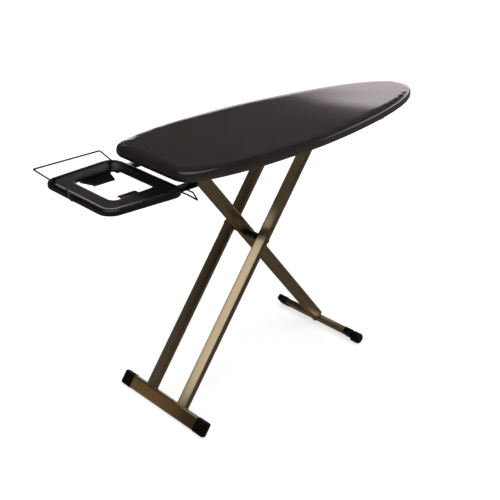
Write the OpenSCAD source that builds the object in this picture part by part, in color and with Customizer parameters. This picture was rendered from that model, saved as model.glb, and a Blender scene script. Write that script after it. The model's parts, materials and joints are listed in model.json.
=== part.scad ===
// Free-standing folding ironing board with an iron tray at its tail.
// +X runs from the tray to the nose, +Y to the wire guard's side, +Z up.
// The origin is on the floor, under the middle of the overall length.

/* [Board] */
// Length of the ironing surface, tail to nose
board_l = 1305; // [1205:5:1350]
// Greatest width of the ironing surface
board_w = 448; // [436:2:456]
// Height of the ironing surface above the floor
board_z = 940; // [920:5:960]
// Thickness of the covered board, hem to top
board_t = 35; // [34:1:40]

/* [Legs] */
// Distance of the crossing point of the legs from the board's tail
pivot_from_tail = 445; // [435:1:455]
// Height of the crossing point of the legs
pivot_z = 561; // [550:1:570]
// Distance of the tray-end foot from the crossing point, along the floor
front_spread = 382; // [370:1:395]
// Distance of the nose-end foot from the crossing point, along the floor
rear_spread = 449; // [435:1:460]
// Distance from the ironing surface down to the upper leg pivots
head_drop = 46; // [44:1:48]
// Spacing of the two outer legs, centre to centre
outer_gauge = 160; // [154:2:170]
// Wide side of the flat leg tube
tube_w = 48; // [46:1:52]
// Narrow side of the flat leg tube
tube_t = 19; // [18:1:22]
// Corner radius of the leg and foot tubes
tube_r = 7; // [6:0.5:8]
// Wall of the leg and foot tubes
tube_wall = 1.2; // [1:0.1:2]

/* [Feet] */
// Length of each foot over its end caps
foot_l = 430; // [420:2:440]
// Length of a foot's end cap
cap_l = 48; // [40:1:55]
// Wide side of the foot tube
foot_w = 49.5; // [47:0.5:49.5]
// Narrow side of the foot tube
foot_t = 24; // [22:1:24]
// Height of the centre of the foot tubes above the floor
foot_z = 25; // [25:0.1:25.4]
// Length of the levelling knob
knob_l = 37; // [30:1:42]

/* [Tray] */
// Length of the tray
tray_l = 273; // [265:1:285]
// Length of the tray that lies under the board's tail
tray_under = 20; // [10:1:30]
// Width of the tray at its outer end
tray_outer_w = 310; // [304:2:330]
// Width of the tray at the board
tray_inner_w = 350; // [340:2:370]
// Drop of the tray's top below the ironing surface
tray_drop = 47.5; // [46:0.5:52]
// Depth of the tray's skirt
tray_h = 16.5; // [16:0.5:22]
// Width of the window in the tray
window_w = 190; // [180:2:196]
// Length of the window in the tray
window_l = 159.5; // [155:0.5:164]

/* [Wires] */
// Diameter of the guard wire
guard_d = 5; // [4:0.5:5]
// Diameter of the hook wire
hook_d = 5; // [3:0.5:5]

/* [Mechanism] */
// Radius of the leg axles
axle_r = 5; // [4:0.5:6]
// Radial clearance of a pin that turns in its bore
run_fit = 0.06; // [0.02:0.01:0.1]
// Radius of the sliding crossbar at the top of the outer legs
bar_r = 6; // [5:0.5:6]
// Radius of the nylon bushes that run in the rails
bush_r = 7.5; // [7:0.5:7.5]

/* [Hidden] */
$fn = 48;

// Colours
fabric_c = "#2f2a29";
felt_c = "#b9b3a8";
steel_c = "#a8a8a8";
frame_c = "#6f5a3c";
black_c = "#161616";
nylon_c = "#e8e4d8";

// Places along X
hook_out = 9;
overall_l = board_l + tray_l - tray_under + hook_out;
nose_x = overall_l / 2;
tail_x = nose_x - board_l;
pivot_x = tail_x + pivot_from_tail;
front_x = pivot_x - front_spread;
rear_x = pivot_x + rear_spread;

// Heights of the board's layers
cover_t = 2;
felt_t = 8;
plate_t = 1.2;
hem_z = board_z - board_t;
felt_z = board_z - cover_t - felt_t;
plate_z = felt_z - plate_t;
head_z = board_z - head_drop;

// Tops of the two legs, on the lines from foot to crossing point
leg_rise = (head_z - pivot_z) / (pivot_z - foot_z);
outer_top_x = pivot_x + front_spread * leg_rise;
inner_top_x = pivot_x - rear_spread * leg_rise;
outer_y = outer_gauge / 2;

// Lean of each leg from the vertical, about +Y
outer_lean = atan2(front_spread, pivot_z - foot_z);
inner_lean = -atan2(rear_spread, pivot_z - foot_z);

// ---------- outlines ----------

// Points of a closed outline, moved inwards by d; the outline runs anticlockwise
function inset(p, d) = [
    for (i = [0 : len(p) - 1])
        let (a = p[(i + len(p) - 1) % len(p)], b = p[(i + 1) % len(p)], t = (b - a) / norm(b - a))
            p[i] + d * [-t[1], t[0]]
];

// Outline with its corners rounded to radius r, n steps a corner
function rounded(p, r, n = 8) = [
    for (i = [0 : len(p) - 1])
        let (
            a = p[(i + len(p) - 1) % len(p)], c = p[i], b = p[(i + 1) % len(p)],
            u = (a - c) / norm(a - c), v = (b - c) / norm(b - c),
            half = acos(u * v) / 2, m = c + (u + v) / norm(u + v) * r / sin(half),
            s = c + u * r / tan(half) - m, start = atan2(s[1], s[0]), turn = 180 - 2 * half
        )
            for (k = [0 : n]) m + r * [cos(start + turn * k / n), sin(start + turn * k / n)]
];

// The board: widest a little past the crossing point, a long blunt nose,
// and a tail that narrows slowly into rounded corners
wide_x = pivot_x + 88;
half_w = board_w / 2;
nose_n = 36;
side_n = 14;
nose_x_pow = 1.4;
nose_y_pow = 2.25;
tail_r = 62;
tail_taper = 21;
taper_l = 390;
taper_pow = 3.5;
corner_x = tail_x + tail_r * 0.778;
corner_w = side_w(corner_x);
corner_slope = atan(taper_pow * tail_taper / taper_l * pow((wide_x - corner_x) / taper_l, taper_pow - 1));
corner_m = [corner_x, corner_w] - tail_r * [-sin(corner_slope), cos(corner_slope)];

function nose_point(q) = [
    wide_x + (nose_x - wide_x) * pow(sin(q), 2 / nose_x_pow),
    half_w * pow(max(cos(q), 0), 2 / nose_y_pow)
];
function side_w(x) = half_w - tail_taper * pow((wide_x - x) / taper_l, taper_pow);
function side_point(x) = [x, side_w(x)];
function corner_point(q) = corner_m + tail_r * [cos(q), sin(q)];
function far_half() = concat(
    [for (i = [0 : nose_n - 1]) nose_point(90 - 90 * i / nose_n)],
    [for (i = [0 : side_n - 1]) side_point(wide_x - (wide_x - corner_x) * i / side_n)],
    [for (i = [0 : 8]) corner_point(90 + corner_slope + (90 - corner_slope) * i / 8)]
);
function near_half(p) = [for (i = [len(p) - 1 : -1 : 1]) [p[i][0], -p[i][1]]];
board_outline = concat(far_half(), near_half(far_half()));

// The tray: a trapezoid with rounded corners and a window
tray_x1 = tail_x + tray_under;
tray_x0 = tray_x1 - tray_l;
tray_r = 45;
tray_z = board_z - tray_drop;
tray_outline = rounded([
    [tray_x0, -tray_outer_w / 2], [tray_x1, -tray_inner_w / 2],
    [tray_x1, tray_inner_w / 2], [tray_x0, tray_outer_w / 2]
], tray_r);
window_x0 = tray_x0 + 64.5;
window_r = 20;
window_in = 8;
window_x1 = window_x0 + window_l;
window_outline = rounded([
    [window_x0, -window_w / 2], [window_x1, window_in - window_w / 2],
    [window_x1, window_w / 2], [window_x0, window_w / 2]
], window_r);

// ---------- shared shapes ----------

// Section with round corners, w along X and t along Y, grown by grow on every side
module section(w, t, grow = 0) {
    x = w / 2 - tube_r;
    y = t / 2 - tube_r;
    r = tube_r + grow;
    square(2 * [x, y + r], center = true);
    square(2 * [x + r, y], center = true);
    for (i = [-1, 1])
        for (j = [-1, 1])
            translate([i * x, j * y]) circle(r = r);
}

// Cylinder along Y from y0 to y1, centred at x and z
module bar_y(x, y0, y1, z, r) {
    translate([x, y1, z]) rotate([90, 0, 0]) cylinder(r = r, h = y1 - y0);
}

// Path through a list of points with its corners rounded; cut is the length
// taken off each side of a corner
function bent(p, cut, n = 5) = concat(
    [p[0]],
    [
        for (i = [1 : len(p) - 2])
            let (
                c = p[i],
                a = c + (p[i - 1] - c) / norm(p[i - 1] - c) * cut,
                b = c + (p[i + 1] - c) / norm(p[i + 1] - c) * cut
            )
                for (k = [0 : n])
                    let (t = k / n) (1 - t) * (1 - t) * a + 2 * t * (1 - t) * c + t * t * b
    ],
    [p[len(p) - 1]]
);

// Wire of diameter d along a path, with m sides; up is a direction that the path never takes
module swept(path, d, up, m = 10) {
    n = len(path);
    ring = [
        for (i = [0 : n - 1])
            let (
                s = path[min(i + 1, n - 1)] - path[max(i - 1, 0)], t = s / norm(s),
                u = up - (up * t) * t, v = u / norm(u), w = cross(t, v)
            )
                for (k = [0 : m - 1])
                    path[i] + d / 2 * (cos(360 * k / m) * v + sin(360 * k / m) * w)
    ];
    polyhedron(
        points = ring,
        faces = concat(
            [[for (k = [m - 1 : -1 : 0]) k]],
            [
                for (i = [0 : n - 2])
                    for (k = [0 : m - 1])
                        [i * m + k, i * m + (k + 1) % m, (i + 1) * m + (k + 1) % m]
            ],
            [
                for (i = [0 : n - 2])
                    for (k = [0 : m - 1])
                        [i * m + k, (i + 1) * m + (k + 1) % m, (i + 1) * m + k]
            ],
            [[for (k = [0 : m - 1]) (n - 1) * m + k]]
        )
    );
}

// Slab with the outline p, from z0 to z1
module slab(p, z0, z1) {
    translate([0, 0, z0]) linear_extrude(z1 - z0) polygon(p);
}

// Box given by its lowest and highest corners
module box(lo, hi) {
    translate(lo) cube(hi - lo);
}

// Solid of a foot along Y from y0 to y1, with its wide side along its leaning leg
module foot_bar(x, lean, y0, y1, grow = 0) {
    translate([x, y1, foot_z])
        rotate([90, 0, 0])
            linear_extrude(y1 - y0) rotate(90 - lean) section(foot_w, foot_t, grow);
}

module foot_tube(x, lean, y0, y1) {
    difference() {
        foot_bar(x, lean, y0, y1);
        foot_bar(x, lean, y0 - 1, y1 + 1, -tube_wall);
    }
}

// Hollow leg tube from z0 to z1 along its own axis; turn is 0 or 90
module leg_tube(z0, z1, turn) {
    translate([0, 0, z0])
        linear_extrude(z1 - z0)
            rotate(turn)
                difference() {
                    section(tube_w, tube_t);
                    section(tube_w, tube_t, -tube_wall);
                }
}

// ---------- board ----------

// Long hexagonal holes of the vented plate
vent_l = 30;
vent_w = 14;
vent_dx = 46;
vent_dy = 38;
vent_margin = 34;
vent_rows = 5;
function board_half(x) = x > wide_x
    ? half_w * pow(max(1 - pow((x - wide_x) / (nose_x - wide_x), nose_x_pow), 0), 1 / nose_y_pow)
    : side_w(x);

module vent() {
    polygon([
        [-vent_l / 2, 0], [-vent_l / 4, -vent_w / 2], [vent_l / 4, -vent_w / 2],
        [vent_l / 2, 0], [vent_l / 4, vent_w / 2], [-vent_l / 4, vent_w / 2]
    ]);
}

module mesh_plate() {
    color(steel_c)
        translate([0, 0, plate_z])
            linear_extrude(plate_t)
                difference() {
                    polygon(inset(board_outline, rim_in));
                    for (i = [0 : floor((board_l - 2 * vent_margin) / vent_dx)])
                        for (j = [-vent_rows : vent_rows]) {
                            x = tail_x + vent_margin + vent_l / 2 + vent_dx * i;
                            y = vent_dy * (j + (i % 2) / 2);
                            if (abs(y) < board_half(x + vent_l / 2) - vent_margin
                                && abs(y) < board_half(x - vent_l / 2) - vent_margin)
                                translate([x, y]) vent();
                        }
                }
}

rim_t = 2;
rim_in = 10;
rim_flange = 14;
rim_z = hem_z + 4;

module rim_frame() {
    color(steel_c) {
        difference() {
            slab(inset(board_outline, rim_in), rim_z, plate_z);
            slab(inset(board_outline, rim_in + rim_t), rim_z - 1, plate_z + 1);
        }
        difference() {
            slab(inset(board_outline, rim_in + rim_t), rim_z, rim_z + rim_t);
            slab(inset(board_outline, rim_in + rim_flange), rim_z - 1, rim_z + rim_t + 1);
        }
    }
}

pad_in = 16;

module felt_pad() {
    color(felt_c) slab(inset(board_outline, pad_in), felt_z, felt_z + felt_t);
}

// Height above the hem and inset of the cover's rolled edge
roll = [[0, 7], [3.7, 3], [9.2, 0.6], [16.6, 0], [24, 1], [29.5, 4], [33.2, 9], [board_t, 16]];
hem_in = 26;

module rolled_solid(d, top) {
    hull()
        for (r = roll)
            translate([0, 0, hem_z + min(r[0], top) - 0.01])
                linear_extrude(0.01) polygon(inset(board_outline, r[1] + d));
}

module cover() {
    color(fabric_c)
        difference() {
            translate([0, 0, 0.01]) rolled_solid(0, board_t - 0.01);
            intersection() {
                rolled_solid(cover_t, board_t);
                slab(inset(board_outline, -10), hem_z + cover_t, board_z - cover_t);
            }
            slab(inset(board_outline, hem_in), hem_z - 1, hem_z + cover_t + 1);
        }
}

brace_w = 24;
brace_h = 10;
brace_wall = 1.5;
brace_gap = 4;

// Inverted U across the board, between the rims
module brace(x) {
    reach = min(board_half(x - brace_w / 2), board_half(x + brace_w / 2)) - rim_in - rim_t - brace_gap;
    color(steel_c)
        difference() {
            box([x - brace_w / 2, -reach, plate_z - brace_h], [x + brace_w / 2, reach, plate_z]);
            box([x - brace_w / 2 + brace_wall, -reach - 1, plate_z - brace_h - 1],
                [x + brace_w / 2 - brace_wall, reach + 1, plate_z - brace_wall]);
        }
}

module brace_tail() {
    brace(inner_top_x + 90);
}

module brace_nose() {
    brace(nose_x - 190);
}

// ---------- slide rails ----------

rail_x0 = outer_top_x - 32;
rail_l = 368;
rail_x1 = rail_x0 + rail_l;
rail_y = outer_y + tube_w / 2 + 6.5;
rail_depth = 17;
rail_sheet = 2.5;
rail_gap = 22;
rail_lo = head_z - rail_gap / 2;
rail_hi = head_z + rail_gap / 2;
lever_slot_x = outer_top_x + 26;
lever_slot_l = 26;

// C channel that hangs from the plate, open towards the legs; side is 1 or -1
module rail(side) {
    y1 = rail_y + rail_depth;
    color(steel_c)
        mirror([0, side < 0 ? 1 : 0, 0])
            difference() {
                union() {
                    box([rail_x0, y1 - rail_sheet, rail_lo - rail_sheet], [rail_x1, y1, plate_z]);
                    for (z = [rail_lo - rail_sheet, rail_hi, plate_z - rail_sheet])
                        box([rail_x0, rail_y, z], [rail_x1, y1, z + rail_sheet]);
                    for (x = [rail_x0, rail_x1 - rail_sheet])
                        box([x, rail_y, rail_lo - rail_sheet], [x + rail_sheet, y1, rail_hi + rail_sheet]);
                }
                if (side > 0)
                    box([lever_slot_x, rail_y - 1, rail_hi - 1],
                        [lever_slot_x + lever_slot_l, y1 + 1, plate_z - 8]);
            }
}

module rail_near() {
    rail(-1);
}

module rail_far() {
    rail(1);
}

// Rivet heads under the top flanges of the rails
module rail_rivets() {
    color(steel_c)
        for (s = [-1, 1])
            for (x = [rail_x0 + 40, rail_x1 - 40])
                translate([x, s * (rail_y + 6), plate_z - rail_sheet - 2])
                    cylinder(r = 4, h = 2);
}

// ---------- fixed upper pivot of the inner leg ----------

head_half = 76;
head_r = 12.5;
bracket_t = 3;
bracket_w = 46;

module pivot_bracket(side) {
    y0 = head_half + 0.5;
    color(steel_c)
        mirror([0, side < 0 ? 1 : 0, 0])
            difference() {
                union() {
                    box([inner_top_x - bracket_w / 2, y0, head_z],
                        [inner_top_x + bracket_w / 2, y0 + bracket_t, plate_z]);
                    bar_y(inner_top_x, y0, y0 + bracket_t, head_z, bracket_w / 2 - 8);
                    box([inner_top_x - bracket_w / 2, y0, plate_z - bracket_t],
                        [inner_top_x + bracket_w / 2, y0 + 26, plate_z]);
                }
                bar_y(inner_top_x, y0 - 1, y0 + bracket_t + 1, head_z, axle_r);
            }
}

module pivot_bracket_near() {
    pivot_bracket(-1);
}

module pivot_bracket_far() {
    pivot_bracket(1);
}

module upper_axle() {
    end = head_half + 0.5 + bracket_t;
    color(steel_c) {
        bar_y(inner_top_x, -end, end, head_z, axle_r);
        for (s = [-1, 1])
            bar_y(inner_top_x, s * (end + 2) - 2, s * (end + 2) + 2, head_z, axle_r + 3);
    }
}

// ---------- iron tray ----------

tray_sheet = 2.5;
lip_h = 10;
tab_drop = 13.5;
tab_y = 51;

// Ledge pressed down at one side of the window, wider at its root; side is 1 or -1
module tray_tab(side, x0, x1, root) {
    z = tray_z - tab_drop;
    wall_y = side * (window_w + tray_sheet) / 2;
    translate([0, 0, z - tray_sheet])
        linear_extrude(tray_sheet)
            polygon([
                [x0, side * tab_y], [x1, side * tab_y],
                [x1 + root, side * (window_w / 2)], [x0 - root, side * (window_w / 2)]
            ]);
    box([x0 - root, wall_y - tray_sheet / 2, z - tray_sheet],
        [x1 + root, wall_y + tray_sheet / 2, tray_z - tray_sheet]);
}

module tray() {
    color(black_c) {
        difference() {
            union() {
                slab(tray_outline, tray_z - tray_h, tray_z - 3);
                slab(inset(tray_outline, 1.2), tray_z - 3, tray_z - 1.2);
                slab(inset(tray_outline, 4), tray_z - 1.2, tray_z);
            }
            difference() {
                slab(inset(tray_outline, tray_sheet), tray_z - tray_h - 1, tray_z - tray_sheet);
                slab(inset(window_outline, -tray_sheet), tray_z - lip_h, tray_z);
            }
            slab(window_outline, tray_z - tray_h - 1, tray_z + 1);
        }
        tray_tab(1, window_x0 + 43, window_x1 - 41, 18);
        tray_tab(-1, window_x0 + 48, window_x1 - 48, 4);
    }
}

arm_y = 119;
arm_w = 40;
arm_t = 5;
arm_x0 = window_x1 + 5;
arm_x1 = tail_x + 90;
arm_z = tray_z - tray_h - arm_t;
arm_flange = 30;
post_r = 8;
screw_x = [window_x1 + 15, tray_x1 - 12];

// Flat arm under the tray that turns up to the plate under the board
module tray_arm(side) {
    color(black_c)
        mirror([0, side < 0 ? 1 : 0, 0]) {
            box([arm_x0, arm_y - arm_w / 2, arm_z], [arm_x1, arm_y + arm_w / 2, arm_z + arm_t]);
            box([arm_x1 - arm_t, arm_y - arm_w / 2, arm_z], [arm_x1, arm_y + arm_w / 2, plate_z]);
            box([arm_x1 - arm_flange, arm_y - arm_w / 2, plate_z - arm_t],
                [arm_x1, arm_y + arm_w / 2, plate_z]);
            for (x = screw_x)
                translate([x, arm_y, arm_z + arm_t])
                    cylinder(r = post_r, h = tray_h - tray_sheet);
        }
}

module tray_arm_near() {
    tray_arm(-1);
}

module tray_arm_far() {
    tray_arm(1);
}

// Pan-head screws that hold the tray to its arms
module tray_screws() {
    color(steel_c)
        for (s = [-1, 1])
            for (x = screw_x)
                translate([x, s * arm_y, arm_z - 3])
                    cylinder(r = 6, h = 3);
}

// ---------- wires ----------

guard_y = 132;
guard_rise = 4.5;
guard_z = tray_z + guard_rise;
guard_x0 = tray_x0 + 14;
guard_x1 = guard_x0 + 225;
guard_flare = [16, 3];
guard_out = 61;
guard_up = 19;
guard_bend = 4;
pin_l = 15;

// Wire guard: a flat loop that leans outwards from its two feet
module guard_wire() {
    feet = guard_bend + 1;
    color(black_c)
        swept(bent([
            [guard_x0 + feet, guard_y, guard_z],
            [guard_x0, guard_y, guard_z],
            [guard_x0 - guard_flare[0], guard_y + guard_out, guard_z + guard_up],
            [guard_x1 - guard_flare[1], guard_y + guard_out, guard_z + guard_up],
            [guard_x1, guard_y, guard_z],
            [guard_x1 - feet, guard_y, guard_z]
        ], guard_bend), guard_d, [0, -guard_up, guard_out]);
}

// Round pins that the guard turns on
module guard_pins() {
    color(black_c)
        for (x = [guard_x0 + guard_bend + 1, guard_x1 - guard_bend - 1 - pin_l])
            translate([x, guard_y, guard_z]) rotate([0, 90, 0]) cylinder(d = guard_d, h = pin_l);
}

clip_l = 9;
clip_in = 8;

// Two blocks on the tray that carry the guard's pins
module guard_clips() {
    color(black_c)
        for (x = [guard_x0 + clip_in, guard_x1 - clip_in - clip_l])
            difference() {
                union() {
                    box([x, guard_y - guard_rise, tray_z], [x + clip_l, guard_y + guard_rise, guard_z]);
                    translate([x, guard_y, guard_z])
                        rotate([0, 90, 0]) cylinder(r = guard_rise, h = clip_l);
                }
                translate([x - 1, guard_y, guard_z])
                    rotate([0, 90, 0]) cylinder(r = guard_d / 2 + run_fit, h = clip_l + 2);
            }
}

hose_z = arm_z + arm_t / 2;
hose_x = tail_x + 22;
hose_w = 24;
hose_stem = 27;
hose_out = 77;

// Triangular loop beside the near tray arm
module hose_hook() {
    y0 = -(arm_y + arm_w / 2);
    color(black_c)
        swept(bent([
            [hose_x, y0, hose_z],
            [hose_x + 1, y0 - hose_stem - 9, hose_z],
            [hose_x - 4, y0 - hose_out, hose_z],
            [hose_x + hose_w, y0 - hose_stem, hose_z],
            [hose_x + hose_w, y0, hose_z]
        ], 5), hook_d, [0, 0, 1]);
}

// Slanted wire hook that stands on the tray's outer edge and ends at the skirt
module end_hook() {
    x = tray_x0 - hook_out + hook_d / 2;
    color(black_c)
        swept(bent([
            [tray_x0 + 7, 39, tray_z],
            [tray_x0 + 7, 39, tray_z + 12],
            [x, 8, tray_z - 8],
            [x, -4, tray_z - 11],
            [tray_x0, -4, tray_z - 11]
        ], 3.5), hook_d, [0, 0.3, 1]);
}

// ---------- height-release lever ----------

lever_px = outer_top_x + 157;
lever_pz = head_z + 10;
lever_y = rail_y + rail_depth + 2;
lever_t = 3;
lever_h = 14;
lever_x0 = outer_top_x - 125;
lever_pin_r = 4;
tooth_x = lever_slot_x + 8;
spring_x = outer_top_x - 25;
spring_y = lever_y + 4;
spring_r = 3.4;

module release_lever() {
    z0 = lever_pz - lever_h / 2;
    color(steel_c)
        difference() {
            union() {
                box([lever_x0, lever_y, z0], [lever_px, lever_y + lever_t, z0 + lever_h]);
                bar_y(lever_px, lever_y, lever_y + lever_t, lever_pz, lever_h / 2);
                box([tooth_x, rail_y + 3, rail_hi + rail_sheet + 1],
                    [tooth_x + 10, lever_y, rail_hi + rail_sheet + 4]);
                box([tooth_x + 2, rail_y + 3, rail_hi + 0.6],
                    [tooth_x + 8, rail_y + 11, rail_hi + rail_sheet + 1]);
            }
            bar_y(lever_px, lever_y - 1, lever_y + lever_t + 1, lever_pz, lever_pin_r + run_fit);
        }
}

grip_l = 95;

// Moulded grip round the free end of the lever
module lever_grip() {
    color(black_c)
        difference() {
            translate([lever_x0 - 6, lever_y - 3, lever_pz - lever_h / 2 - 6])
                linear_extrude(lever_h + 2)
                    polygon(rounded([[0, 0], [grip_l, 0], [grip_l, 46], [0, 46]], 5));
            box([lever_x0, lever_y, lever_pz - lever_h / 2],
                [lever_x0 + grip_l, lever_y + lever_t, lever_pz + lever_h / 2]);
        }
}

// Bracket and pin that the lever turns on
module lever_mount() {
    y0 = lever_y + lever_t + 0.5;
    color(steel_c) {
        box([lever_px - 12, y0, lever_pz - 10], [lever_px + 12, y0 + 3, plate_z]);
        box([lever_px - 12, y0, plate_z - 3], [lever_px + 12, y0 + 20, plate_z]);
        bar_y(lever_px, rail_y + rail_depth, y0, lever_pz, lever_pin_r);
    }
}

spring_turns = 5;
spring_wire = 1.2;
spring_steps = 12;
spring_z0 = lever_pz + lever_h / 2 + 0.8;

// Compression spring between the lever and the plate
module lever_spring() {
    n = spring_turns * spring_steps;
    rise = plate_z - 0.8 - spring_z0;
    color(steel_c)
        swept([
            for (i = [0 : n])
                [spring_x + spring_r * cos(360 * i / spring_steps),
                 spring_y + spring_r * sin(360 * i / spring_steps),
                 spring_z0 + rise * i / n]
        ], spring_wire, [0, 0, 1], 6);
}

// ---------- inner leg ----------

bush_wall = 3;
sleeve_r = 12.5;
washer_t = 6;
sleeve_half = outer_y - tube_w / 2 - washer_t - 0.4;
leg_weld = 3;

module inner_leg_tube() {
    l = norm([rear_x - inner_top_x, head_z - foot_z]);
    color(frame_c)
        difference() {
            translate([rear_x, 0, foot_z]) rotate([0, inner_lean, 0]) leg_tube(foot_w / 2 - tube_r, l, 0);
            bar_y(inner_top_x, -tube_t, tube_t, head_z, head_r);
            foot_bar(rear_x, inner_lean, -tube_t, tube_t);
            bar_y(pivot_x, -tube_t, tube_t, pivot_z, sleeve_r);
        }
}

// Sleeve welded through the inner leg at the crossing point
module pivot_sleeve() {
    color(black_c)
        difference() {
            bar_y(pivot_x, -sleeve_half, sleeve_half, pivot_z, sleeve_r);
            bar_y(pivot_x, -sleeve_half - 1, sleeve_half + 1, pivot_z, axle_r + bush_wall);
        }
}

pivot_bush_l = 20;

// Bushes pressed into the ends of the pivot sleeve
module pivot_bushes() {
    m = sleeve_half - pivot_bush_l / 2;
    color(nylon_c)
        for (s = [-1, 1])
            difference() {
                bar_y(pivot_x, s * m - pivot_bush_l / 2, s * m + pivot_bush_l / 2, pivot_z,
                      axle_r + bush_wall);
                bar_y(pivot_x, -sleeve_half - 1, sleeve_half + 1, pivot_z, axle_r + run_fit);
            }
}

head_wall = 1.5;
head_bush_l = 14;

module inner_head_tube() {
    color(frame_c)
        difference() {
            bar_y(inner_top_x, -head_half, head_half, head_z, head_r);
            bar_y(inner_top_x, -head_half - 1, head_half + 1, head_z, head_r - head_wall);
        }
}

// Bushes pressed into the ends of the head tube
module head_bushes() {
    color(nylon_c)
        for (s = [-1, 1])
            difference() {
                bar_y(inner_top_x, s * (head_half - head_bush_l / 2) - head_bush_l / 2,
                      s * (head_half - head_bush_l / 2) + head_bush_l / 2, head_z, head_r - head_wall);
                bar_y(inner_top_x, -head_half - 1, head_half + 1, head_z, axle_r + run_fit);
            }
}

// ---------- feet ----------

foot_half = foot_l / 2;
cap_grow = 1.5;
cap_in = 30;

// End cap with a flat sole, pushed over the tube by cap_in; side is 1 or -1
module foot_cap(x, lean, side, y0, y1) {
    color(black_c)
        mirror([0, side < 0 ? 1 : 0, 0])
            difference() {
                intersection() {
                    union() {
                        foot_bar(x, lean, y0, y1 - 5, cap_grow);
                        foot_bar(x, lean, y1 - 5, y1 - 2, cap_grow - 1.5);
                        foot_bar(x, lean, y1 - 2, y1, cap_grow - 4.5);
                    }
                    box([x - foot_w, y0 - 1, 0], [x + foot_w, y1 + 1, 2 * foot_w]);
                }
                foot_bar(x, lean, y0 - 1, y0 + cap_in);
            }
}

cap_y = foot_half - cap_l;

module front_foot_tube() {
    color(frame_c) foot_tube(front_x, outer_lean, -cap_y - cap_in, cap_y + cap_in);
}

module front_cap_near() {
    foot_cap(front_x, outer_lean, -1, cap_y, foot_half);
}

module front_cap_far() {
    foot_cap(front_x, outer_lean, 1, cap_y, foot_half);
}

end_sleeve_l = 34;
end_sleeve_in = 24;
knob_y = foot_half - knob_l;
end_sleeve_y = knob_y - 0.5 - end_sleeve_l;

module rear_foot_tube() {
    color(frame_c) foot_tube(rear_x, inner_lean, -end_sleeve_y - end_sleeve_in, cap_y + cap_in);
}

module rear_cap_far() {
    foot_cap(rear_x, inner_lean, 1, cap_y, foot_half);
}

stud_r = 6;
stud_in = 12;

// Fixed sleeve that closes the tube beside the knob
module rear_sleeve_near() {
    y1 = -end_sleeve_y;
    color(black_c)
        difference() {
            intersection() {
                foot_bar(rear_x, inner_lean, y1 - end_sleeve_l, y1, cap_grow);
                box([rear_x - foot_w, -foot_half, 0], [rear_x + foot_w, 0, 2 * foot_w]);
            }
            foot_bar(rear_x, inner_lean, y1 - end_sleeve_in, y1 + 1);
            bar_y(rear_x, -foot_half, y1, foot_z, stud_r);
        }
}

// Stud that the levelling knob turns on
module knob_stud() {
    color(steel_c) bar_y(rear_x, -foot_half + stud_in, -end_sleeve_y - stud_in, foot_z, stud_r);
}

knob_r = 21;
knob_round = 8;

// Round knob that turns off centre on the stud and stands on the floor
module levelling_knob() {
    color(black_c)
        difference() {
            translate([rear_x, -knob_y, knob_r])
                rotate([90, 0, 0])
                    rotate_extrude()
                        polygon(concat(
                            [[0, 0], [knob_r - 2, 0], [knob_r, 2]],
                            [
                                for (q = [0 : 15 : 90])
                                    [knob_r, knob_l] - knob_round * [1 - cos(q), 1 - sin(q)]
                            ],
                            [[0, knob_l]]
                        ));
            bar_y(rear_x, -foot_half + stud_in - 2, -knob_y + 1, foot_z, stud_r + run_fit);
        }
}

// ---------- outer legs ----------

leg_over = 13;

module outer_leg(y) {
    l = norm([outer_top_x - front_x, head_z - foot_z]);
    color(frame_c)
        difference() {
            translate([front_x, y, foot_z])
                rotate([0, outer_lean, 0])
                    leg_tube(foot_w / 2 - leg_weld, l + leg_over, 90);
            foot_bar(front_x, outer_lean, y - tube_w, y + tube_w);
            bar_y(outer_top_x, y - tube_w, y + tube_w, head_z, bar_r);
            bar_y(pivot_x, y - tube_w, y + tube_w, pivot_z, axle_r);
        }
}

module outer_leg_near() {
    outer_leg(-outer_y);
}

module outer_leg_far() {
    outer_leg(outer_y);
}

// Plugs that close the tops of the outer legs
module leg_top_plugs() {
    l = norm([outer_top_x - front_x, head_z - foot_z]);
    color(black_c)
        for (s = [-1, 1])
            translate([front_x, s * outer_y, foot_z])
                rotate([0, outer_lean, 0])
                    translate([0, 0, l + leg_over])
                        linear_extrude(3) rotate(90) section(tube_w, tube_t);
}

bar_half = rail_y + rail_depth - rail_sheet - 1.5;

// Bar through the tops of the outer legs; its ends slide in the rails
module top_crossbar() {
    color(steel_c) bar_y(outer_top_x, -bar_half, bar_half, head_z, bar_r);
}

// Nylon bushes on the ends of the crossbar
module slide_bushes() {
    color(nylon_c)
        for (s = [-1, 1])
            difference() {
                bar_y(outer_top_x, s * (bar_half - 5) - 5, s * (bar_half - 5) + 5, head_z, bush_r);
                bar_y(outer_top_x, -bar_half - 1, bar_half + 1, head_z, bar_r);
            }
}

// ---------- crossing point ----------

spacer_r = 9;
axle_half = outer_y + tube_w / 2;

module centre_axle() {
    color(steel_c) bar_y(pivot_x, -axle_half, axle_half, pivot_z, axle_r);
}

// Washer between the pivot sleeve and an outer leg, shaped to the leg; side is 1 or -1
module spacer(side) {
    y0 = sleeve_half + 0.4;
    y1 = outer_y - tube_w / 2 + 4;
    color(black_c)
        mirror([0, side < 0 ? 1 : 0, 0])
            difference() {
                bar_y(pivot_x, y0, y1, pivot_z, spacer_r);
                bar_y(pivot_x, y0 - 1, y1 + 1, pivot_z, axle_r);
                translate([front_x, outer_y, foot_z])
                    rotate([0, outer_lean, 0])
                        linear_extrude(2 * pivot_z) rotate(90) section(tube_w, tube_t);
            }
}

module spacer_near() {
    spacer(-1);
}

module spacer_far() {
    spacer(1);
}

rivet_t = 1.6;

// Heads on the ends of the centre axle
module axle_rivets() {
    m = axle_half + rivet_t / 2;
    color(steel_c)
        for (s = [-1, 1])
            bar_y(pivot_x, s * m - rivet_t / 2, s * m + rivet_t / 2, pivot_z, axle_r + 2);
}

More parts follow.
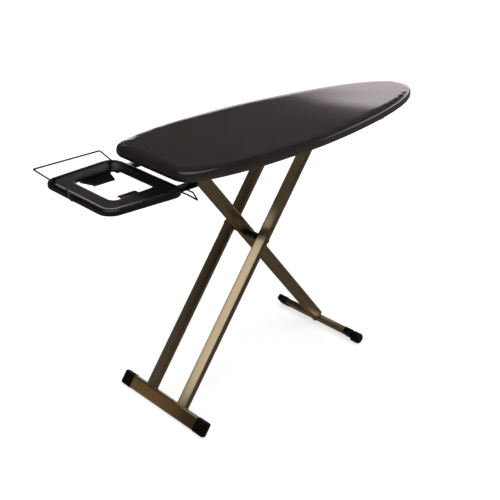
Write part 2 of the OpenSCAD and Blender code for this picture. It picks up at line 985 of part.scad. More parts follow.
mesh_plate();
rim_frame();
felt_pad();
cover();
brace_tail();
brace_nose();
rail_near();
rail_far();
pivot_bracket_near();
pivot_bracket_far();
upper_axle();
tray();
tray_arm_near();
tray_arm_far();
tray_screws();
guard_clips();
hose_hook();
end_hook();
lever_mount();
lever_spring();
rail_rivets();
inner_leg_tube();
inner_head_tube();
head_bushes();
pivot_sleeve();
pivot_bushes();
rear_foot_tube();
rear_cap_far();
rear_sleeve_near();
knob_stud();
levelling_knob();
outer_leg_near();
outer_leg_far();
leg_top_plugs();
front_foot_tube();
front_cap_near();
front_cap_far();
top_crossbar();
slide_bushes();
centre_axle();
spacer_near();
spacer_far();
axle_rivets();
guard_wire();
guard_pins();
release_lever();
lever_grip();
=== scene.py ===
import json
import math

import bpy
import numpy as np
from mathutils import Matrix, Vector
from mathutils.geometry import delaunay_2d_cdt


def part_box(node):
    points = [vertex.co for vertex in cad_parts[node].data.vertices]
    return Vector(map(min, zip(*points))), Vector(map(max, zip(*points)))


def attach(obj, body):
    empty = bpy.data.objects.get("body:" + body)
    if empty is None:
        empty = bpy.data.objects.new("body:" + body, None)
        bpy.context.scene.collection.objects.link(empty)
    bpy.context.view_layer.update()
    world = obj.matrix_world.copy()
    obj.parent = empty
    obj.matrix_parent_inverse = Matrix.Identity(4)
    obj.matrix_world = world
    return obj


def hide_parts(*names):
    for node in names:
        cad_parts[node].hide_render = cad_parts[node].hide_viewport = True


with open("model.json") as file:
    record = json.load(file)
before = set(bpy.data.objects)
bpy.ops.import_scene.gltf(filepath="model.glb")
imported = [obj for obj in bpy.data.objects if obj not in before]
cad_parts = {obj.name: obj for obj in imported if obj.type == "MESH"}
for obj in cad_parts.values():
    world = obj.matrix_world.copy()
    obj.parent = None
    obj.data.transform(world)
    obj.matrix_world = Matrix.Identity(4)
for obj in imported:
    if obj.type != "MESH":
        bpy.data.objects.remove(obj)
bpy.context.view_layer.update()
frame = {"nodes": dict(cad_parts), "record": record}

MM = 0.001
scene = bpy.context.scene
nodes = frame["nodes"]


# ---------- camera ----------

def make_camera():
    """The photograph's viewpoint: from the tail, on the near side, a little above the board."""
    data = bpy.data.cameras.new("camera")
    data.lens = 61.3
    data.sensor_width = 36
    data.clip_start = 0.05
    data.clip_end = 60
    cam = bpy.data.objects.new("camera", data)
    scene.collection.objects.link(cam)
    yaw, pitch, roll = math.radians(43.54), math.radians(26.87), math.radians(-2.05)
    turn = Matrix.Rotation(yaw - math.pi / 2, 4, "Z") @ Matrix.Rotation(math.pi / 2 - pitch, 4, "X")
    place = middle_of("centre_axle") + Vector((-1.9285, -1.8547, 1.2837))
    cam.matrix_world = Matrix.Translation(place) @ turn @ Matrix.Rotation(-roll, 4, "Z")
    scene.camera = cam


def middle_of(node):
    """The middle of a CAD node's box."""
    lo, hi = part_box(node)
    return (lo + hi) / 2


make_camera()


# ---------- materials ----------

class Graph:
    """A material's nodes, with short calls for the ones used here."""

    def __init__(self, name):
        self.material = bpy.data.materials.new(name)
        self.material.use_nodes = True
        self.tree = self.material.node_tree
        self.tree.nodes.clear()
        self.out = self.tree.nodes.new("ShaderNodeOutputMaterial")
        self.shader = self.tree.nodes.new("ShaderNodeBsdfPrincipled")
        self.link(self.shader.outputs[0], self.out.inputs[0])
        self.place = self.tree.nodes.new("ShaderNodeTexCoord").outputs["Object"]

    def link(self, a, b):
        self.tree.links.new(a, b)

    def node(self, kind, inputs=None, **settings):
        n = self.tree.nodes.new("ShaderNode" + kind)
        for key, value in settings.items():
            setattr(n, key, value)
        for key, value in (inputs or {}).items():
            if isinstance(value, bpy.types.NodeSocket):
                self.link(value, n.inputs[key])
            else:
                n.inputs[key].default_value = value
        return n

    def noise(self, scale, detail, stretch=None):
        """Noise from 0 to 1, with a stretch of the scale along each axis."""
        place = self.place
        if stretch:
            place = self.node("Mapping", {"Vector": place, "Scale": stretch}).outputs[0]
        return self.node("TexNoise", {"Vector": place, "Scale": scale, "Detail": detail}).outputs["Fac"]

    def wave(self, period, direction):
        """Bands across one axis, with that period in metres."""
        scale = 2 * math.pi / (20 * period)
        return self.node(
            "TexWave", {"Vector": self.place, "Scale": scale}, bands_direction=direction
        ).outputs["Fac"]

    def math(self, kind, a, b):
        return self.node("Math", {0: a, 1: b}, operation=kind).outputs[0]

    def ramp(self, value, stops):
        n = self.node("ValToRGB", {"Fac": value})
        while len(n.color_ramp.elements) < len(stops):
            n.color_ramp.elements.new(0.5)
        for element, (at, colour) in zip(n.color_ramp.elements, stops):
            element.position = at
            element.color = (*colour, 1.0)
        return n.outputs["Color"]

    def between(self, value, low, high):
        """The value, from 0 to 1, mapped to a range."""
        return self.node("MapRange", {"Value": value, "To Min": low, "To Max": high}).outputs[0]

    def bump(self, height, strength, distance, before=None):
        inputs = {"Height": height, "Strength": strength, "Distance": distance}
        if before:
            inputs["Normal"] = before
        return self.node("Bump", inputs).outputs[0]

    def set(self, **values):
        for key, value in values.items():
            socket = self.shader.inputs[key.replace("_", " ")]
            if isinstance(value, bpy.types.NodeSocket):
                self.link(value, socket)
            else:
                socket.default_value = value


def fabric_material():
    """Charcoal satin cotton with a lightly coated face: a fine plain weave with faint slubs."""
    g = Graph("cover_fabric")
    weave = g.math("MULTIPLY", g.wave(0.0014, "X"), g.wave(0.0014, "Y"))
    slub = g.noise(260, 2, (1, 6, 1))
    broad = g.noise(7, 4)
    shade = g.math("ADD", g.math("MULTIPLY", slub, 0.55), g.math("MULTIPLY", broad, 0.45))
    relief = g.bump(slub, 0.10, 0.0004, g.bump(weave, 0.22, 0.0003, g.bump(broad, 0.2, 0.003)))
    g.set(
        Base_Color=g.ramp(shade, [(0.3, (0.019, 0.0162, 0.0156)), (0.7, (0.029, 0.0250, 0.0242))]),
        Roughness=g.between(weave, 0.62, 0.52),
        Normal=relief,
    )
    g.set(Coat_Weight=1.0, Coat_Roughness=0.055)
    g.shader.inputs["Specular IOR Level"].default_value = 0.1
    return g.material


def felt_material():
    """Pale needled felt with a fibrous face."""
    g = Graph("felt")
    fibre = g.noise(900, 4, (1, 1, 3))
    mottle = g.noise(60, 3)
    mix = g.math("ADD", g.math("MULTIPLY", fibre, 0.6), g.math("MULTIPLY", mottle, 0.4))
    g.set(
        Base_Color=g.ramp(mix, [(0.3, (0.40, 0.37, 0.32)), (0.7, (0.62, 0.58, 0.52))]),
        Roughness=g.between(fibre, 0.8, 0.98),
        Normal=g.bump(fibre, 0.6, 0.0008),
    )
    g.set(Sheen_Weight=0.4)
    return g.material


def bronze_material():
    """Metallic champagne lacquer over steel tube."""
    g = Graph("bronze_paint")
    flake = g.noise(1400, 1)
    drift = g.noise(5, 3)
    peel = g.noise(240, 2)
    mix = g.math("ADD", g.math("MULTIPLY", flake, 0.5), g.math("MULTIPLY", drift, 0.5))
    g.set(
        Base_Color=g.ramp(mix, [(0.25, (0.43, 0.335, 0.205)), (0.75, (0.53, 0.42, 0.27))]),
        Roughness=g.between(drift, 0.25, 0.31),
        Normal=g.bump(peel, 0.02, 0.0002),
    )
    g.set(Metallic=1.0, Coat_Weight=0.35, Coat_Roughness=0.08)
    return g.material


def enamel_material():
    """Gloss black enamel with a fine orange peel."""
    g = Graph("black_enamel")
    peel = g.noise(380, 2)
    dust = g.noise(30, 5)
    g.set(
        Base_Color=g.ramp(dust, [(0.35, (0.003, 0.003, 0.003)), (0.75, (0.006, 0.0058, 0.0055))]),
        Roughness=g.between(dust, 0.22, 0.36),
        Normal=g.bump(peel, 0.10, 0.0004),
    )
    g.set(Coat_Weight=0.3, Coat_Roughness=0.12)
    return g.material


def plastic_material():
    """Black moulded plastic with a fine spark-eroded grain."""
    g = Graph("black_plastic")
    grain = g.noise(1500, 3)
    rub = g.noise(24, 4)
    g.set(
        Base_Color=g.ramp(rub, [(0.3, (0.002, 0.002, 0.0021)), (0.75, (0.005, 0.0049, 0.0048))]),
        Roughness=g.between(rub, 0.34, 0.50),
        Normal=g.bump(grain, 0.18, 0.0003),
    )
    g.shader.inputs["Specular IOR Level"].default_value = 0.25
    return g.material


def zinc_material():
    """Zinc-plated steel, faintly spangled and brushed along its length."""
    g = Graph("zinc_steel")
    brush = g.noise(700, 3, (0.04, 1, 1))
    spangle = g.node("TexVoronoi", {"Vector": g.place, "Scale": 140}).outputs["Distance"]
    mix = g.math("ADD", g.math("MULTIPLY", brush, 0.6), g.math("MULTIPLY", spangle, 0.4))
    g.set(
        Base_Color=g.ramp(mix, [(0.2, (0.42, 0.42, 0.43)), (0.8, (0.63, 0.63, 0.65))]),
        Roughness=g.between(mix, 0.28, 0.44),
        Normal=g.bump(brush, 0.10, 0.0003),
    )
    g.set(Metallic=1.0)
    return g.material


def nylon_material():
    """Natural nylon of the bushes."""
    g = Graph("nylon")
    mottle = g.noise(90, 3)
    g.set(
        Base_Color=g.ramp(mottle, [(0.3, (0.70, 0.67, 0.58)), (0.7, (0.82, 0.80, 0.73))]),
        Roughness=g.between(mottle, 0.32, 0.46),
        Normal=g.bump(mottle, 0.1, 0.0004),
    )
    g.set(Subsurface_Weight=0.1)
    return g.material


MATERIALS = {
    "cover_fabric": fabric_material(),
    "felt": felt_material(),
    "bronze_paint": bronze_material(),
    "black_enamel": enamel_material(),
    "black_plastic": plastic_material(),
    "zinc_steel": zinc_material(),
    "nylon": nylon_material(),
}
SLOTS = {s["node"]: s["material_slot"] for s in frame["record"]["subparts"]}


def finish_cad_nodes():
    """Gives each CAD node its material, and eases the edges of the rigid ones."""
    for name, o in nodes.items():
        o.data.materials.clear()
        o.data.materials.append(MATERIALS[SLOTS[name]])
        if name in ("cover", "felt_pad", "mesh_plate"):
            continue
        weld = o.modifiers.new("weld", "WELD")
        weld.merge_threshold = 0.00001
        bevel = o.modifiers.new("ease", "BEVEL")
        bevel.width = 0.0006
        bevel.segments = 2
        bevel.limit_method = "ANGLE"
        bevel.angle_limit = math.radians(38)
        flat_shading = o.data.attributes.get("sharp_face")
        if flat_shading:
            o.data.attributes.remove(flat_shading)


finish_cad_nodes()


def add_mesh(name, verts, faces, slot, body):
    """A smooth piece that rides on a body and takes its finish from a material slot."""
    mesh = bpy.data.meshes.new(name)
    mesh.from_pydata([tuple(v) for v in verts], [], faces)
    mesh.validate()
    o = bpy.data.objects.new(name, mesh)
    scene.collection.objects.link(o)
    mesh.polygons.foreach_set("use_smooth", [True] * len(mesh.polygons))
    mesh.materials.append(MATERIALS[slot])
    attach(o, body)
    return o


# ---------- outlines read from the frame ----------

def convex_loop(points):
    """The convex outline of 2D points, anticlockwise."""
    pts = sorted({(round(float(p[0]), 6), round(float(p[1]), 6)) for p in points})
    halves = []
    for run in (pts, pts[::-1]):
        half = []
        for p in run:
            while len(half) > 1:
                (ax, ay), (bx, by) = half[-2], half[-1]
                if (bx - ax) * (p[1] - ay) - (by - ay) * (p[0] - ax) > 0:
                    break
                half.pop()
            half.append(p)
        halves += half[:-1]
    return np.array(halves)


def points_of(node, z_lo, z_hi):
    """A node's points between two heights, seen from above."""
    pts = np.array([v.co for v in nodes[node].data.vertices])
    return pts[(pts[:, 2] >= z_lo) & (pts[:, 2] <= z_hi)][:, :2]


def resampled(loop, n):
    """n points spaced evenly round a closed loop."""
    closed = np.vstack([loop, loop[:1]])
    step = np.linalg.norm(np.diff(closed, axis=0), axis=1)
    along = np.concatenate([[0], np.cumsum(step)])
    at = np.linspace(0, along[-1], n, endpoint=False)
    return np.stack([np.interp(at, along, closed[:, k]) for k in range(2)], axis=1)


def by_angle(loop, centre, n):
    """n points of a closed loop, at even angles about a centre inside it."""
    dense = resampled(loop, 6000) - centre
    angle = np.arctan2(dense[:, 1], dense[:, 0])
    order = np.argsort(angle)
    at = np.linspace(-math.pi, math.pi, n, endpoint=False)
    return centre + np.stack(
        [np.interp(at, angle[order], dense[order, k], period=2 * math.pi) for k in range(2)], axis=1
    )


def outward(loop):
    """The outward normal at each point of an anticlockwise loop."""
    t = np.roll(loop, -1, axis=0) - np.roll(loop, 1, axis=0)
    n = np.stack([t[:, 1], -t[:, 0]], axis=1)
    return n / np.linalg.norm(n, axis=1)[:, None]


def inset(loop, out, mm):
    """The loop moved inwards along its outward normals."""
    return loop - out * (mm * MM)


def strips(rings, n, closed=True):
    """Quads between successive rings of n points."""
    last = n if closed else n - 1
    return [
        (k * n + i, k * n + (i + 1) % n, (k + 1) * n + (i + 1) % n, (k + 1) * n + i)
        for k in range(len(rings) - 1)
        for i in range(last)
    ]


def at_height(loop, z):
    """A flat loop as 3D points, at one height or at a height for each point."""
    return np.column_stack([loop, np.broadcast_to(z, len(loop))])


def depth_inside(loop, points):
    """How far points lie inside an anticlockwise convex loop."""
    a, b = loop, np.roll(loop, -1, axis=0)
    edge = (b - a) / np.linalg.norm(b - a, axis=1)[:, None]
    depth = np.full(len(points), np.inf)
    for start, along in zip(a, edge):
        rel = points - start
        depth = np.minimum(depth, along[0] * rel[:, 1] - along[1] * rel[:, 0])
    return depth


def filled(loop, spacing):
    """Points in rows inside a loop, the triangles that fill it, and whether all points were kept."""
    lo, hi = loop.min(0), loop.max(0)
    grid = []
    for row, y in enumerate(np.arange(lo[1] + spacing / 2, hi[1], spacing * 0.87)):
        for x in np.arange(lo[0] + spacing * (0.25 + 0.5 * (row % 2)), hi[0], spacing):
            grid.append((x, y))
    grid = np.array(grid)
    grid = grid[depth_inside(loop, grid) > spacing * 0.55]
    verts = [Vector(p) for p in loop] + [Vector(p) for p in grid]
    out = delaunay_2d_cdt(verts, [], [list(range(len(loop)))], 1, 1e-7)
    return grid, [tuple(f) for f in out[2]], len(out[0]) == len(verts)


# ---------- cover ----------

cover_lo, cover_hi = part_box("cover")
HEM_Z, TOP_Z = cover_lo.z, cover_hi.z
ROUND_N = 460
board_loop = resampled(convex_loop(points_of("cover", HEM_Z, TOP_Z)), ROUND_N)
board_out = outward(board_loop)
GATHER = np.linspace(0, 2 * math.pi, ROUND_N, endpoint=False)
PUCKER = (
    0.55 * np.sin(61 * GATHER + 1.1 * np.sin(5 * GATHER))
    + 0.35 * np.sin(97 * GATHER + 2.0 * np.sin(3 * GATHER + 1))
    + 0.25 * np.sin(37 * GATHER + 0.6)
)


def shell_of(rings, spacing):
    """Rings and the filled middle of the last one, as points and faces."""
    n = len(rings[0])
    faces = strips(rings, n)
    last = rings[-1]
    grid, fill, whole = filled(last[:, :2], spacing)
    if not whole:
        raise RuntimeError("the outline's fill dropped points")
    verts = np.vstack(rings + [at_height(grid, last[0, 2])])
    shift = (len(rings) - 1) * n
    faces += [tuple(i + shift for i in f) for f in fill]
    return verts, faces


def soften(o, held, frames, pressure, cap, stiffness):
    """Cloth simulation of a piece with some of its points held; each point moves at most cap."""
    before = np.array([v.co for v in o.data.vertices])
    group = o.vertex_groups.new(name="held")
    group.add([int(i) for i in np.flatnonzero(held)], 1.0, "ADD")
    cloth = o.modifiers.new("cloth_sim", "CLOTH")
    s = cloth.settings
    s.quality = 6
    s.mass = 0.25
    s.tension_stiffness = stiffness
    s.compression_stiffness = stiffness
    s.shear_stiffness = stiffness / 2
    s.bending_stiffness = 0.6
    s.vertex_group_mass = "held"
    s.use_pressure = True
    s.uniform_pressure_force = pressure
    s.effector_weights.gravity = 0
    cloth.collision_settings.use_collision = False
    cloth.point_cache.frame_start = 1
    cloth.point_cache.frame_end = frames
    for frame_no in range(1, frames + 1):
        scene.frame_set(frame_no)
    shaped = o.evaluated_get(bpy.context.evaluated_depsgraph_get())
    after = np.array([v.co for v in shaped.to_mesh().vertices])
    shaped.to_mesh_clear()
    o.modifiers.remove(cloth)
    o.vertex_groups.clear()
    scene.frame_set(1)
    move = after - before
    size = np.linalg.norm(move, axis=1)
    move *= np.minimum(1, cap / np.maximum(size, 1e-9))[:, None]
    o.data.vertices.foreach_set("co", (before + move).ravel())
    o.data.update()


def cover_skin():
    """The fabric cover: one sheet from the gathered hem under the rim, round the edge and over the top."""
    # inset from the outline, height above the hem and how far the gathers move it, all in mm
    profile = [
        (26, 2.2, 1.1), (23, 0.8, 1.4), (18, 0.3, 1.4), (12, 0.0, 1.0), (8, 0.7, 0.7), (5, 2.2, 0.5),
        (3, 4.4, 0.36), (1.4, 7.2, 0.26), (0.5, 11, 0.18), (0.1, 15.5, 0.1), (0.3, 20, 0.06),
        (1.2, 24.6, 0.03), (3, 28.4, 0.0), (6, 31.5, 0.0), (10, 33.7, 0.0), (15, 34.8, 0.0), (21, 35, 0.0),
    ]
    rings = []
    for inwards, up, move in profile:
        loop = inset(board_loop, board_out, inwards) + board_out * (PUCKER * move * 0.6 * MM)[:, None]
        sway = PUCKER * (move * 0.35 * MM if up < 3 else 0)
        rings.append(at_height(loop, HEM_Z + up * MM + sway))
    verts, faces = shell_of(rings, 0.0095)
    o = add_mesh("cover_skin", verts, faces, "cover_fabric", "board")
    co = np.array([v.co for v in o.data.vertices])
    flat = co[:, 2] > TOP_Z - 0.0003
    x, y = co[:, 0], co[:, 1]
    # broad shallow dips in the padded top, in mm
    dip = (
        0.16 * np.sin(8.1 * x + 2.2 * np.sin(5 * y)) * np.cos(9 * y + 1.3 * np.sin(3.1 * x))
        + 0.05 * np.sin(23 * x + 17 * y)
        - 0.2
    )
    co[flat, 2] += dip[flat] * MM
    o.data.vertices.foreach_set("co", co.ravel())
    underside = co[:, 2] < HEM_Z + 0.012
    soften(o, held=underside, frames=14, pressure=1.2, cap=0.0012, stiffness=25)
    thick = o.modifiers.new("cloth", "SOLIDIFY")
    thick.thickness = 0.0012
    thick.offset = -1
    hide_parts("cover")
    return o


def tube(name, path, radius, slot, body, sides=8, closed=False):
    """A round bead or cord along a path of points."""
    n = len(path)
    if closed:
        t = np.roll(path, -1, axis=0) - np.roll(path, 1, axis=0)
    else:
        t = np.gradient(path, axis=0)
    t = t / np.linalg.norm(t, axis=1)[:, None]
    up = np.array([0.0, 0.0, 1.0]) if abs(t[:, 2]).max() < 0.95 else np.array([0.31, 0.9, 0.3])
    u = up - (t @ up)[:, None] * t
    u = u / np.linalg.norm(u, axis=1)[:, None]
    w = np.cross(t, u)
    r = np.broadcast_to(radius, n)[:, None]
    rings = [path + r * (math.cos(q) * u + math.sin(q) * w)
             for q in np.linspace(0, 2 * math.pi, sides, endpoint=False)]
    verts = np.stack(rings, axis=1).reshape(-1, 3)
    faces = []
    for i in range(n if closed else n - 1):
        j = (i + 1) % n
        for k in range(sides):
            m = (k + 1) % sides
            faces.append((i * sides + k, i * sides + m, j * sides + m, j * sides + k))
    if not closed:
        faces.append(tuple(range(sides))[::-1])
        faces.append(tuple((n - 1) * sides + k for k in range(sides)))
    return add_mesh(name, verts, faces, slot, body)


def hem_casing():
    """The drawstring's casing, sewn along the gathered hem under the board."""
    loop = inset(board_loop, board_out, 26) + board_out * (PUCKER * 0.7 * MM)[:, None]
    path = at_height(loop, HEM_Z + 0.0021 + PUCKER * 0.0004)
    return tube("hem_casing", path, 0.0021 + 0.0003 * PUCKER, "cover_fabric", "board", 10, closed=True)


cover = cover_skin()
casing = hem_casing()


def felt_pad():
    """The felt under the cover: a closed slab with soft edges, pressed a little where the rim holds it."""
    lo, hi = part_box("felt_pad")
    base = resampled(convex_loop(points_of("felt_pad", lo.z, hi.z)), 300)
    out = outward(base)
    n = len(base)
    thick = (hi.z - lo.z) / MM
    low = [(4, 0.0), (1.6, 0.25), (0.5, 1.0), (0.1, 2.2)]
    high = [(0.0, thick * 0.5), (0.3, thick - 2.4), (1.3, thick - 0.9), (3.4, thick - 0.15), (6, thick)]
    rings = [at_height(inset(base, out, i), lo.z + up * MM) for i, up in low + high]
    verts, faces = shell_of(rings, 0.016)
    grid, fill, _ = filled(rings[0][:, :2], 0.016)
    shift = len(verts)
    verts = np.vstack([verts, at_height(grid, lo.z)])
    faces += [tuple((i if i < n else i - n + shift) for i in f[::-1]) for f in fill]
    o = add_mesh("felt_layer", verts, faces, "felt", "board")
    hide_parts("felt_pad")
    return o


pad = felt_pad()


# ---------- tray ----------

tray_lo, tray_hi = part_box("tray")
RIM_W = 0.012  # points of the tray's top this far in from its outline belong to the window
LEDGE_Z = -13.5  # the ledges' height against the top of the rim, in mm
LEDGE_Y = 0.051  # from the tray's middle to the ledges' free edges


def tray_shell():
    """The pressed tray: rolled skirt, rounded rim, a shallow step and a turned-down window."""
    n = 480
    every = points_of("tray", tray_lo.z, tray_hi.z)
    outer = convex_loop(every)
    top = points_of("tray", tray_hi.z - 0.0001, tray_hi.z)
    window = convex_loop(top[depth_inside(outer, top) > RIM_W])
    centre = (window.min(0) + window.max(0)) / 2
    outer = by_angle(outer, centre, n)
    window = by_angle(window, centre, n)
    out, win = outward(outer), outward(window)
    drop = (tray_hi.z - tray_lo.z) / MM
    rim = [
        (2.6, 1.6 - drop), (1.6, 0.5 - drop), (0.7, 0.1 - drop), (0.1, 0.8 - drop), (0, 2.4 - drop),
        (0, -9), (0, -6.2), (0.25, -4.4), (0.95, -2.8), (2.2, -1.4), (4.0, -0.45), (6.4, -0.05), (9, 0),
        (13, 0), (15, -0.25), (17, -0.95), (19, -1.2),
    ]
    lip = [(7, -1.2), (4.4, -1.25), (2.4, -1.7), (1.0, -2.8), (0.3, -4.4), (0, -6.2), (0, -10)]
    rings = [at_height(inset(outer, out, i), tray_hi.z + up * MM) for i, up in rim]
    first, last = rings[-1], at_height(inset(window, win, -lip[0][0]), tray_hi.z + lip[0][1] * MM)
    rings += [first * (1 - t) + last * t for t in np.linspace(0, 1, 7)[1:-1]]
    rings += [at_height(inset(window, win, -i), tray_hi.z + up * MM) for i, up in lip]
    o = add_mesh("tray_shell", np.vstack(rings), strips(rings, n), "black_enamel", "board")
    sheet = o.modifiers.new("sheet_steel", "SOLIDIFY")
    sheet.thickness = 0.0016
    sheet.offset = -1
    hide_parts("tray")
    return window.min(0), window.max(0)


window_lo, window_hi = tray_shell()


def tray_tab(name, side, x0, x1, root, rib):
    """A ledge pressed down from one side of the window, with its free edge turned under."""
    free = LEDGE_Y
    wall = window_hi[1]
    # from the wall's foot, where each row is measured from the wall, in mm
    bend = [(0.2, -8.5), (0.2, -11.2), (-0.6, -12.7), (-2.2, -13.4), (-5, LEDGE_Z)]
    rows = [(wall + y * MM, z) for y, z in bend]
    for y in np.linspace(wall - 0.008, free + 0.002, 12):
        rise = rib * math.exp(-(((y - (free + wall) / 2 + 0.004) / 0.0035) ** 2))
        rows.append((y, LEDGE_Z + rise))
    rows += [(free + 0.0006, -13.8), (free, -14.6), (free + 0.0002, -15.6)]
    n = 25
    verts = []
    for y, z in rows:
        t = max(0.0, (y - free) / (wall - free))
        for k in range(n):
            u = k / (n - 1)
            x = (x0 - root * t) * (1 - u) + (x1 + root * t) * u
            ends = min(u, 1 - u) * (x1 - x0 + 2 * root * t) / 0.004
            lift = LEDGE_Z + (z - LEDGE_Z) * min(1, ends) if LEDGE_Z <= z < -11 else z
            verts.append((x, side * y, tray_hi.z + (lift - 0.7 * max(0, 1 - ends)) * MM))
    grid = [verts[i:i + n] for i in range(0, len(verts), n)]
    faces = strips(grid, n, closed=False)
    if side < 0:
        faces = [f[::-1] for f in faces]
    o = add_mesh(name, verts, faces, "black_enamel", "board")
    sheet = o.modifiers.new("sheet_steel", "SOLIDIFY")
    sheet.thickness = 0.0018
    sheet.offset = -1 if side > 0 else 1
    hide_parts("tray")


tray_tab("tray_tab_far", 1, window_lo[0] + 0.043, window_hi[0] - 0.041, 0.018, 1.6)
tray_tab("tray_tab_near", -1, window_lo[0] + 0.048, window_hi[0] - 0.048, 0.004, 1.0)


# ---------- weld beads ----------

def leg_frame(foot, top):
    """Origin, across, and up directions of a leg, from its foot tube to its upper axle."""
    start, end = middle_of(foot), middle_of(top)
    up = Vector((end.x - start.x, 0, end.z - start.z)).normalized()
    across = Vector((up.z, 0, -up.x))
    return np.array(start), np.array(across), np.array(up)


def bead_radius(n, base):
    """The radius of a hand-laid bead, a little uneven along its length."""
    q = np.linspace(0, 1, n)
    return base * (1 + 0.12 * np.sin(97 * q) + 0.08 * np.sin(211 * q + 1))


LEG_HALF = (0.024, 0.0095)  # half the width and half the thickness of a leg's tube
FOOT_HALF = (0.02475, 0.012)  # the same for a foot's tube
CORNER = 0.007  # radius of both tubes' corners
BEAD_R = 0.0012


def foot_top(across_mm):
    """Height of a foot tube's end face above its axis, along its leg's direction."""
    over = np.maximum(np.abs(across_mm) - (FOOT_HALF[1] - CORNER), 0)
    return FOOT_HALF[0] - CORNER + np.sqrt(np.maximum(CORNER**2 - over**2, 0))


def weld_beads():
    """Fillets where the legs stand on the feet, laid along the curve where the tubes meet."""
    start, across, up = leg_frame("front_foot_tube", "top_crossbar")
    turn = np.linspace(0, 2 * math.pi, 120, endpoint=False)
    wide = np.sign(np.cos(turn)) * (LEG_HALF[0] - CORNER) + CORNER * np.cos(turn)
    thin = np.sign(np.sin(turn)) * (LEG_HALF[1] - CORNER) + CORNER * np.sin(turn)
    centre_y = middle_of("outer_leg_far").y
    for name, side in (("weld_front_near", -1), ("weld_front_far", 1)):
        path = start + (thin * 1.03)[:, None] * across + (foot_top(thin) + 0.0005)[:, None] * up
        path[:, 1] = side * centre_y + wide * 1.012
        tube(name, path, bead_radius(120, BEAD_R), "bronze_paint", "outer_legs", 8, closed=True)
    start, across, up = leg_frame("rear_foot_tube", "upper_axle")
    v = np.linspace(-FOOT_HALF[1], FOOT_HALF[1], 48)
    for name, side in (("weld_rear_near", -1), ("weld_rear_far", 1)):
        path = start + v[:, None] * across + (foot_top(v) + 0.0004)[:, None] * up
        path[:, 1] = side * (LEG_HALF[1] + 0.0004)
        tube(name, path, bead_radius(48, BEAD_R), "bronze_paint", "inner_leg", 8)


weld_beads()


# ---------- stage ----------

def add_stage(name, verts, faces, material):
    """A part of the studio, which isn't mirrored in the gloss."""
    mesh = bpy.data.meshes.new(name)
    mesh.from_pydata(verts, [], faces)
    mesh.materials.append(material)
    o = bpy.data.objects.new(name, mesh)
    scene.collection.objects.link(o)
    o.visible_glossy = False
    return o


def make_floor():
    """Pale studio floor, lit from under like a light table."""
    g = Graph("floor")
    fine = g.noise(3, 2)
    g.set(Base_Color=g.ramp(fine, [(0.2, (0.90, 0.90, 0.90)), (0.8, (0.92, 0.92, 0.92))]), Roughness=0.9)
    g.set(Emission_Color=(1, 1, 1, 1), Emission_Strength=0.72)
    r = 30
    add_stage("floor", [(-r, -r, 0), (r, -r, 0), (r, r, 0), (-r, r, 0)], [(0, 1, 2, 3)], g.material)


def make_sun():
    """A very broad soft light from overhead, screened from the far outer leg."""
    data = bpy.data.lights.new("overhead", "SUN")
    data.energy = 1.5
    data.angle = math.radians(66)
    o = bpy.data.objects.new("overhead", data)
    scene.collection.objects.link(o)
    o.rotation_euler = (math.radians(8), math.radians(-6), 0)
    screen = bpy.data.collections.new("overhead_screen")
    screen.objects.link(bpy.data.objects["outer_leg_far"])
    screen.collection_objects[0].light_linking.link_state = "EXCLUDE"
    o.light_linking.receiver_collection = screen


def make_panel(name, centre, along, across, size, radiance, lit):
    """A soft panel light that reaches only the pieces named in lit, as if screened from the rest."""
    data = bpy.data.lights.new(name, "AREA")
    data.shape = "RECTANGLE"
    data.size, data.size_y = size
    data.energy = radiance * size[0] * size[1] * math.pi
    o = bpy.data.objects.new(name, data)
    scene.collection.objects.link(o)
    u = Vector(across).normalized()
    v = Vector(along).normalized()
    o.matrix_world = Matrix.Translation(centre) @ Matrix((u, v, u.cross(v))).transposed().to_4x4()
    o.visible_camera = False
    screened = bpy.data.collections.new(name + "_reach")
    for piece in lit:
        screened.objects.link(bpy.data.objects[piece])
    o.light_linking.receiver_collection = screened


def make_panels():
    """Slanted panels beyond the legs, each screened so that it reaches one piece."""
    # directions up the outer legs and out of their faces, from a point beyond the centre axle
    leg, face = Vector((0.58, 0, 0.8146)), Vector((-0.8146, 0, 0.58))
    beyond = middle_of("centre_axle") + Vector((0, 0.45, 0))
    near, far, foot = ["outer_leg_near"], ["outer_leg_far"], ["front_foot_tube"]
    make_panel("key", beyond - leg * 0.50 + face * 0.72, leg, face, (0.30, 1.10), 1.9, near)
    make_panel("fade", beyond + leg * 0.16 + face * 0.72, leg, face, (0.24, 0.22), 1.3, near)
    make_panel("edge", beyond - leg * 0.20 + face * 0.40, leg, face, (0.02, 1.4), 0.5, far)
    make_panel("low", beyond - leg * 0.84 + face * 0.60, leg, face, (0.9, 0.36), 0.17, foot)
    bpy.data.lights["low"].color = (1.0, 0.70, 0.40)


def make_backdrop():
    """A pale dome that only the camera sees, so that every view has a plain background."""
    g = Graph("backdrop")
    fine = g.noise(2, 2)
    white = g.ramp(fine, [(0.2, (0.96, 0.96, 0.96)), (0.8, (0.98, 0.98, 0.98))])
    g.set(Base_Color=(0, 0, 0, 1), Emission_Color=white, Emission_Strength=1.0, Roughness=1.0)
    radius, sunk, n = 28, 0.5, 64
    turn = np.linspace(0, 2 * math.pi, n, endpoint=False)
    circle = np.column_stack([np.cos(turn), np.sin(turn)])
    rings = [
        at_height(radius * math.cos(q) * circle, radius * math.sin(q) - sunk)
        for q in np.linspace(0, math.radians(88), 16)
    ]
    o = add_stage("backdrop", [tuple(v) for v in np.vstack(rings)], strips(rings, n), g.material)
    o.visible_diffuse = False
    o.visible_transmission = False
    o.visible_shadow = False


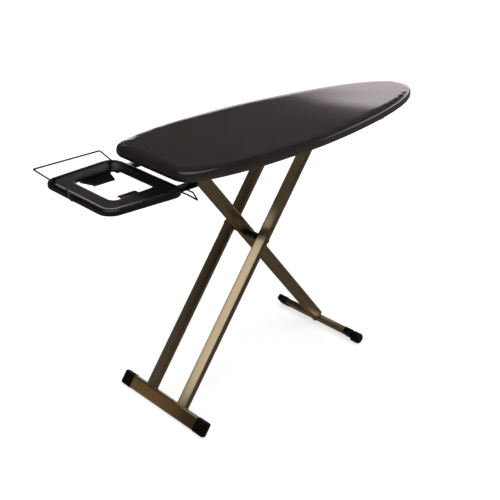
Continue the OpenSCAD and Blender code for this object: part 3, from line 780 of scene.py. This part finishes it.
def make_world():
    """A dark studio with a bright window low beyond the nose and a dim brown ground."""
    world = bpy.data.worlds.new("studio")
    scene.world = world
    world.use_nodes = True
    tree = world.node_tree
    back = tree.nodes["Background"]
    coord = tree.nodes.new("ShaderNodeTexCoord")

    def along(direction, stops):
        """A ramp over how far a direction points along a unit vector, from -1 to 1."""
        dot = tree.nodes.new("ShaderNodeVectorMath")
        dot.operation = "DOT_PRODUCT"
        dot.inputs[1].default_value = direction
        span = tree.nodes.new("ShaderNodeMapRange")
        span.inputs["From Min"].default_value = -1
        ramp = tree.nodes.new("ShaderNodeValToRGB")
        while len(ramp.color_ramp.elements) < len(stops):
            ramp.color_ramp.elements.new(0.5)
        for element, (at, colour) in zip(ramp.color_ramp.elements, stops):
            element.position = (at + 1) / 2
            element.color = (*colour, 1)
        tree.links.new(coord.outputs["Generated"], dot.inputs[0])
        tree.links.new(dot.outputs["Value"], span.inputs["Value"])
        tree.links.new(span.outputs[0], ramp.inputs[0])
        return ramp.outputs[0]

    def joined(kind, a, b):
        mix = tree.nodes.new("ShaderNodeMix")
        mix.data_type = "RGBA"
        mix.blend_type = kind
        mix.inputs["Factor"].default_value = 1
        tree.links.new(a, mix.inputs["A"])
        tree.links.new(b, mix.inputs["B"])
        return mix.outputs["Result"]

    base = along((0, 0, 1), [
        (-1.0, (0.060, 0.054, 0.045)), (-0.06, (0.066, 0.061, 0.052)), (0.05, (0.058, 0.053, 0.047)),
        (0.22, (0.024, 0.019, 0.014)), (0.5, (0.014, 0.011, 0.008)), (1.0, (0.012, 0.010, 0.008)),
    ])
    low = along((-0.1073, 0.1398, 0.9844), [
        (-0.02, (0, 0, 0)), (0.0, (1, 1, 1)), (0.276, (0.96, 0.84, 0.91)), (0.290, (0, 0, 0)),
    ])
    beyond = along((0.966, 0.259, 0), [(0.55, (0, 0, 0)), (0.74, (1, 1, 1))])
    window = joined("MULTIPLY", low, beyond)
    tree.links.new(joined("ADD", base, window), back.inputs["Color"])
    back.inputs["Strength"].default_value = 1.75


make_floor()
make_world()
make_sun()
make_panels()
make_backdrop()
scene.view_settings.view_transform = "Standard"
